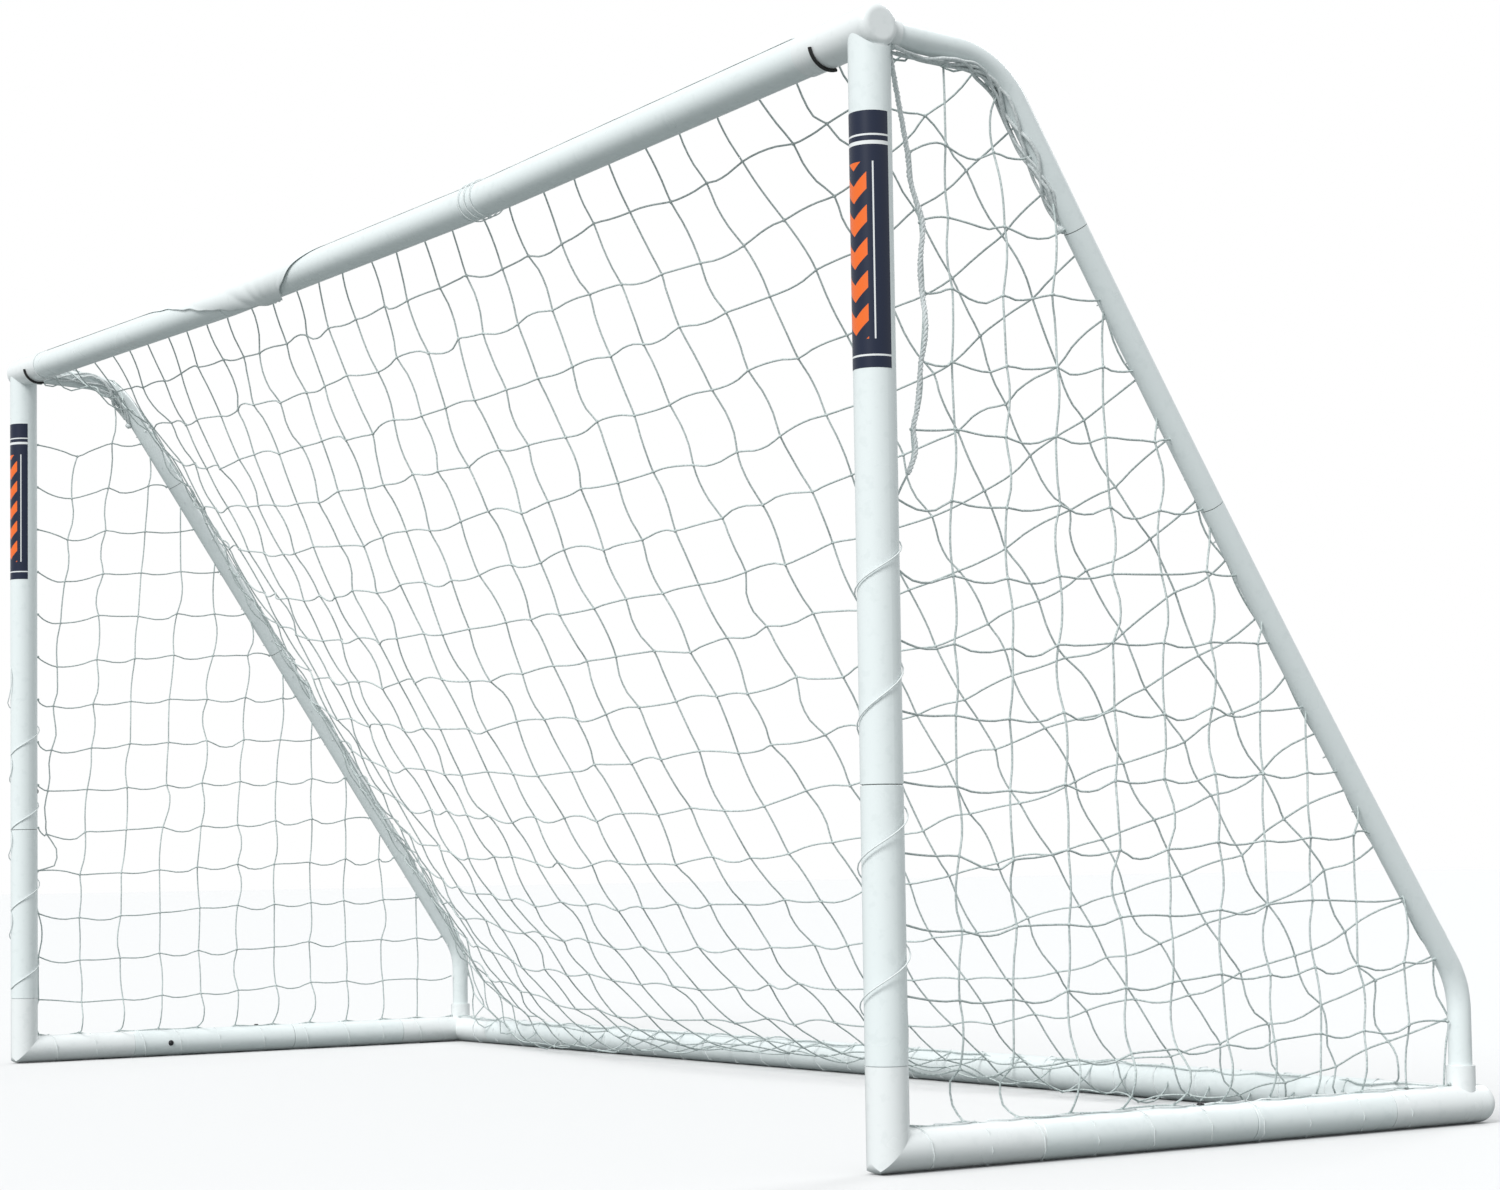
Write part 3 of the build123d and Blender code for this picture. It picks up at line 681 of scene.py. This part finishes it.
def make_hem(material):
    """The cloth hem that lies over the crossbar, pulled down to one tie near the middle."""
    end_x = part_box("net_hem")[1].x
    xs = np.arange(-end_x, end_x, 0.01)
    edge = np.interp(xs, HEM_PLACES, HEM_ANGLES)
    kernel = np.array([0.25, 0.5, 0.25])
    for repeat in range(2):
        edge[1:-1] = np.convolve(edge, kernel, "valid")
    dip = (edge - HEM_ANGLES[0]) / (max(HEM_ANGLES) - HEM_ANGLES[0])
    edge += 2.0 * np.sin(xs * 47) + 3.5 * dip * np.sin(xs * 83)
    shape = Shape()
    skins = []
    for skin in (0, 1):
        vertices = []
        for x, last, pulled in zip(xs, edge, dip):
            for share in np.linspace(0, 1, HEM_ROWS):
                angle = math.radians(HEM_REAR + (last - HEM_REAR) * share)
                near_edge = share ** 6
                reach = x - PINCH_X
                fold = math.sin(math.atan2(reach, 0.05 + (1 - share) * 0.2) * 9)
                wrinkle = 0.0030 * pulled * fold * share ** 2
                lift = 0.0008 + pulled * 0.0055 * near_edge + abs(wrinkle)
                radius = TUBE_R + lift + HEM_THICKNESS * skin
                vertices.append((
                    x, FRONT_Y + radius * math.cos(angle), bar_height(x) + radius * math.sin(angle)
                ))
        skins.append(vertices)
    count = len(xs)
    total = count * HEM_ROWS
    faces = []
    for i in range(count - 1):
        for k in range(HEM_ROWS - 1):
            a, b = i * HEM_ROWS + k, (i + 1) * HEM_ROWS + k
            faces.append((a, b, b + 1, a + 1))
            faces.append((total + a, total + a + 1, total + b + 1, total + b))
        first, nxt = i * HEM_ROWS, (i + 1) * HEM_ROWS
        faces.append((first, total + first, total + nxt, nxt))
        first, nxt = first + HEM_ROWS - 1, nxt + HEM_ROWS - 1
        faces.append((first, nxt, total + nxt, total + first))
    for k in range(HEM_ROWS - 1):
        a = (count - 1) * HEM_ROWS + k
        faces.append((k, k + 1, total + k + 1, total + k))
        faces.append((a, total + a, total + a + 1, a + 1))
    shape.add(skins[0] + skins[1], faces)
    return shape.finish("hem_cloth", material, ["net_hem"])


# Materials ------------------------------------------------------------------------------------------

def new_material(name, colour, roughness, metallic=0.0, coat=0.0):
    """A plain surface and its node tree."""
    material = bpy.data.materials.new(name)
    material.use_nodes = True
    shader = material.node_tree.nodes["Principled BSDF"]
    shader.inputs["Base Color"].default_value = (*colour, 1)
    shader.inputs["Roughness"].default_value = roughness
    shader.inputs["Metallic"].default_value = metallic
    shader.inputs["Coat Weight"].default_value = coat
    return material, material.node_tree, shader


def add_node(tree, kind, **values):
    """A new node with some of its settings."""
    node = tree.nodes.new(kind)
    for key, value in values.items():
        setattr(node, key, value)
    return node


def noise_of(tree, scale, detail):
    """A noise pattern in the object's own metres."""
    coords = add_node(tree, "ShaderNodeTexCoord")
    noise = add_node(tree, "ShaderNodeTexNoise")
    noise.inputs["Scale"].default_value = scale
    noise.inputs["Detail"].default_value = detail
    tree.links.new(coords.outputs["Object"], noise.inputs["Vector"])
    return noise.outputs["Fac"]


def ramp_of(tree, factor, low, high):
    """A colour ramp between two (position, colour) stops."""
    ramp = add_node(tree, "ShaderNodeValToRGB")
    for element, (position, colour) in zip(ramp.color_ramp.elements, (low, high)):
        element.position = position
        element.color = (*colour, 1)
    tree.links.new(factor, ramp.inputs["Fac"])
    return ramp.outputs["Color"]


def plastic(name, colour, roughness):
    """White tube or moulding: faint clouding of the gloss and small handling marks."""
    material, tree, shader = new_material(name, colour, roughness)
    gloss = add_node(tree, "ShaderNodeMapRange")
    gloss.inputs["From Min"].default_value = 0.3
    gloss.inputs["From Max"].default_value = 0.7
    gloss.inputs["To Min"].default_value = roughness - 0.06
    gloss.inputs["To Max"].default_value = roughness + 0.08
    tree.links.new(noise_of(tree, 6.0, 6.0), gloss.inputs["Value"])
    tree.links.new(gloss.outputs["Result"], shader.inputs["Roughness"])
    marked = (colour[0] * 0.96, colour[1] * 0.965, colour[2] * 0.965)
    marks = noise_of(tree, 55.0, 8.0)
    tree.links.new(
        ramp_of(tree, marks, (0.34, marked), (0.44, colour)), shader.inputs["Base Color"]
    )
    return material


def twine(name, light, dark, lay):
    """Twisted polyethylene: light and dark bands of the lay, and a rough surface."""
    material, tree, shader = new_material(name, light, 0.62)
    bands = noise_of(tree, lay, 3.0)
    tree.links.new(ramp_of(tree, bands, (0.35, dark), (0.65, light)), shader.inputs["Base Color"])
    bump = add_node(tree, "ShaderNodeBump")
    bump.inputs["Strength"].default_value = 0.5
    bump.inputs["Distance"].default_value = 0.0006
    tree.links.new(bands, bump.inputs["Height"])
    tree.links.new(bump.outputs["Normal"], shader.inputs["Normal"])
    return material


def math_node(tree, operation, first, second=None, third=None):
    """One step of arithmetic; arguments are sockets or numbers."""
    node = add_node(tree, "ShaderNodeMath", operation=operation)
    for index, value in enumerate((first, second, third)):
        if value is None:
            continue
        if isinstance(value, (int, float)):
            node.inputs[index].default_value = value
        else:
            tree.links.new(value, node.inputs[index])
    return node.outputs[0]


def between(tree, value, low, high):
    """One where value lies between two numbers, else zero."""
    above = math_node(tree, "GREATER_THAN", value, low)
    below = math_node(tree, "LESS_THAN", value, high)
    return math_node(tree, "MULTIPLY", above, below)


def label_print():
    """Dark blue vinyl with a column of orange chevrons and thin white rules."""
    navy = (0.003, 0.010, 0.036)
    orange = (0.88, 0.15, 0.012)
    white = (0.80, 0.82, 0.82)
    material, tree, shader = new_material("label_print", navy, 0.34)
    coords = add_node(tree, "ShaderNodeTexCoord")
    parts = add_node(tree, "ShaderNodeSeparateXYZ")
    tree.links.new(coords.outputs["Object"], parts.inputs[0])
    sideways = math_node(tree, "SUBTRACT", math_node(tree, "ABSOLUTE", parts.outputs["X"]), POST_X)
    forward = math_node(tree, "SUBTRACT", FRONT_Y, parts.outputs["Y"])
    angle = math_node(tree, "ARCTAN2", sideways, forward)
    across = math_node(tree, "MULTIPLY", angle, TUBE_R)
    height = math_node(tree, "SUBTRACT", parts.outputs["Z"], LABEL_FOOT)
    offset = math_node(tree, "ABSOLUTE", across)
    slant = math_node(tree, "MULTIPLY_ADD", offset, -0.9, height)
    stripe = math_node(tree, "FRACT", math_node(tree, "DIVIDE", slant, 0.052))
    chevron = math_node(tree, "LESS_THAN", stripe, 0.52)
    chevron = math_node(tree, "MULTIPLY", chevron, math_node(tree, "LESS_THAN", offset, 0.024))
    chevron = math_node(tree, "MULTIPLY", chevron, between(tree, height, 0.045, 0.325))
    rule = between(tree, height, 0.352, 0.358)
    for low in (0.366, 0.018):
        rule = math_node(tree, "MAXIMUM", rule, between(tree, height, low, low + 0.003))
    edges = math_node(tree, "MULTIPLY", between(tree, offset, 0.033, 0.0355),
                      between(tree, height, 0.045, 0.325))
    rule = math_node(tree, "MAXIMUM", rule, edges)
    printed = add_node(tree, "ShaderNodeMix", data_type="RGBA")
    printed.inputs["A"].default_value = (*navy, 1)
    printed.inputs["B"].default_value = (*orange, 1)
    tree.links.new(chevron, printed.inputs["Factor"])
    ruled = add_node(tree, "ShaderNodeMix", data_type="RGBA")
    ruled.inputs["B"].default_value = (*white, 1)
    tree.links.new(rule, ruled.inputs["Factor"])
    tree.links.new(printed.outputs["Result"], ruled.inputs["A"])
    tree.links.new(ruled.outputs["Result"], shader.inputs["Base Color"])
    return material


def paint_nodes():
    """Give every CAD node its finish."""
    finishes = {
        "tube": plastic("tube_white", (0.78, 0.835, 0.835), 0.30),
        "corner": plastic("corner_white", (0.82, 0.85, 0.85), 0.24),
        # Painted shadow: the couplers are white like the tubes; their dark grey stands for the shade in
        # the seams where they show.
        "coupler": plastic("coupler_painted_seam_shadow", (0.30, 0.31, 0.31), 0.5),
        "button": new_material("button_black", (0.012, 0.012, 0.014), 0.35)[0],
        "clip_steel": new_material("clip_steel", (0.56, 0.57, 0.59), 0.32, metallic=1.0)[0],
        "hook": new_material("hook_black", (0.010, 0.010, 0.010), 0.45)[0],
        "label": label_print(),
        "net": new_material("net_plain", (0.45, 0.50, 0.49), 0.6)[0],
        "cord": new_material("cord_plain", (0.6, 0.63, 0.62), 0.6)[0],
    }
    for part in frame["record"]["subparts"]:
        mesh = nodes[part["node"]].data
        mesh.materials.clear()
        mesh.materials.append(finishes[part["material_slot"]])
        mesh.shade_smooth()
        mesh.set_sharp_from_angle(angle=math.radians(32))


# Floor, light and camera ------------------------------------------------------------------------------

FLOOR_SIZE = 160.0
FLOOR_LEVEL = -0.0012  # just below the tubes, so that no face of theirs lies in it
FLOOR_SEEN = (0.72, 0.72, 0.72)
FLOOR_BOUNCE = (0.20, 0.22, 0.22)  # it throws back only as much light as a darker floor
WORLD_SEEN = (1.0, 1.0, 1.0)
WORLD_LIGHT = (0.70, 0.72, 0.73)
SUN_SPREAD = math.radians(25)
SUNS = (("key", 2.45, 44, 22), ("fill", 0.7, -50, -25))  # name, strength, tilt, turn


def for_camera_or_light(tree, lit_by, seen_as, socket):
    """One colour for what the camera sees directly and another for the light that it gives."""
    path = add_node(tree, "ShaderNodeLightPath")
    mix = add_node(tree, "ShaderNodeMix", data_type="RGBA")
    mix.inputs["A"].default_value = (*lit_by, 1)
    mix.inputs["B"].default_value = (*seen_as, 1)
    tree.links.new(path.outputs["Is Camera Ray"], mix.inputs["Factor"])
    tree.links.new(mix.outputs["Result"], socket)


def make_floor():
    """A plain pale floor."""
    bpy.ops.mesh.primitive_plane_add(size=FLOOR_SIZE, location=(0, 0, FLOOR_LEVEL))
    floor = bpy.context.object
    floor.name = "floor"
    material, tree, shader = new_material("floor_pale", FLOOR_SEEN, 0.8)
    for_camera_or_light(tree, FLOOR_BOUNCE, FLOOR_SEEN, shader.inputs["Base Color"])
    floor.data.materials.append(material)


def make_light():
    """An even white surround, a broad key from the front right and a weak fill from behind."""
    world = bpy.data.worlds.new("studio")
    world.use_nodes = True
    back = world.node_tree.nodes["Background"]
    for_camera_or_light(world.node_tree, WORLD_LIGHT, WORLD_SEEN, back.inputs["Color"])
    bpy.context.scene.world = world
    for name, energy, tilt, turn in SUNS:
        sun = bpy.data.lights.new(name, "SUN")
        sun.energy = energy
        sun.angle = SUN_SPREAD
        lamp = bpy.data.objects.new(name, sun)
        lamp.rotation_euler = (math.radians(tilt), math.radians(turn), 0)
        bpy.context.scene.collection.objects.link(lamp)


CAMERA_PLACE = (5.5806, -3.4153, 0.4755)
CAMERA_YAW = math.radians(55.898)
CAMERA_PITCH = math.radians(3.218)
CAMERA_ROLL = math.radians(-0.858)
CAMERA_LENS = 71.34
CAMERA_SHIFT_Y = 0.07


def make_camera():
    """The camera, level but for a slight roll, near the ground at the right front."""
    data = bpy.data.cameras.new("camera")
    data.sensor_width = 36.0
    data.lens = CAMERA_LENS
    data.shift_y = CAMERA_SHIFT_Y
    forward = np.array([
        -math.sin(CAMERA_YAW) * math.cos(CAMERA_PITCH),
        math.cos(CAMERA_YAW) * math.cos(CAMERA_PITCH),
        math.sin(CAMERA_PITCH),
    ])
    level = np.array([math.cos(CAMERA_YAW), math.sin(CAMERA_YAW), 0.0])
    upward = np.cross(level, forward)
    right = math.cos(CAMERA_ROLL) * level + math.sin(CAMERA_ROLL) * upward
    top = -math.sin(CAMERA_ROLL) * level + math.cos(CAMERA_ROLL) * upward
    turned = Matrix(np.array([right, top, -forward]).T.tolist()).to_4x4()
    camera = bpy.data.objects.new("camera", data)
    camera.matrix_world = Matrix.Translation(CAMERA_PLACE) @ turned
    bpy.context.scene.collection.objects.link(camera)
    bpy.context.scene.camera = camera


# The scene --------------------------------------------------------------------------------------------

paint_nodes()
net_twine = twine("net_twine", (0.63, 0.70, 0.69), (0.40, 0.46, 0.455), 260.0)
cord_twine = twine("cord_twine", (0.76, 0.80, 0.80), (0.58, 0.62, 0.62), 300.0)
lacing_twine = twine("lacing_twine", (0.80, 0.84, 0.84), (0.70, 0.74, 0.74), 300.0)
hem_white = plastic("hem_white", (0.80, 0.84, 0.84), 0.55)

back = back_web()
back_places = np.array(back.places)
back_places = waved(back, settle(back, FRAME_BARS))
weave(back, back_places, "twine_back", net_twine, ["net_back", "net_roof"])

for side_name, side_sign in SIDES.items():
    web, rope = side_web(side_name, side_sign)
    side_places = np.array(web.places)
    side_places = waved(web, settle(web, [], 1200, 6), 0.0025)
    weave(web, side_places, f"twine_{side_name}", net_twine, [f"net_side_{side_name}"])
    if side_sign > 0:
        make_border_rope(side_places[rope], cord_twine)

make_bunches(cord_twine)
make_lacing(lacing_twine)
make_hem(hem_white)
make_floor()
make_light()
make_camera()
bpy.context.scene.view_settings.view_transform = "Standard"
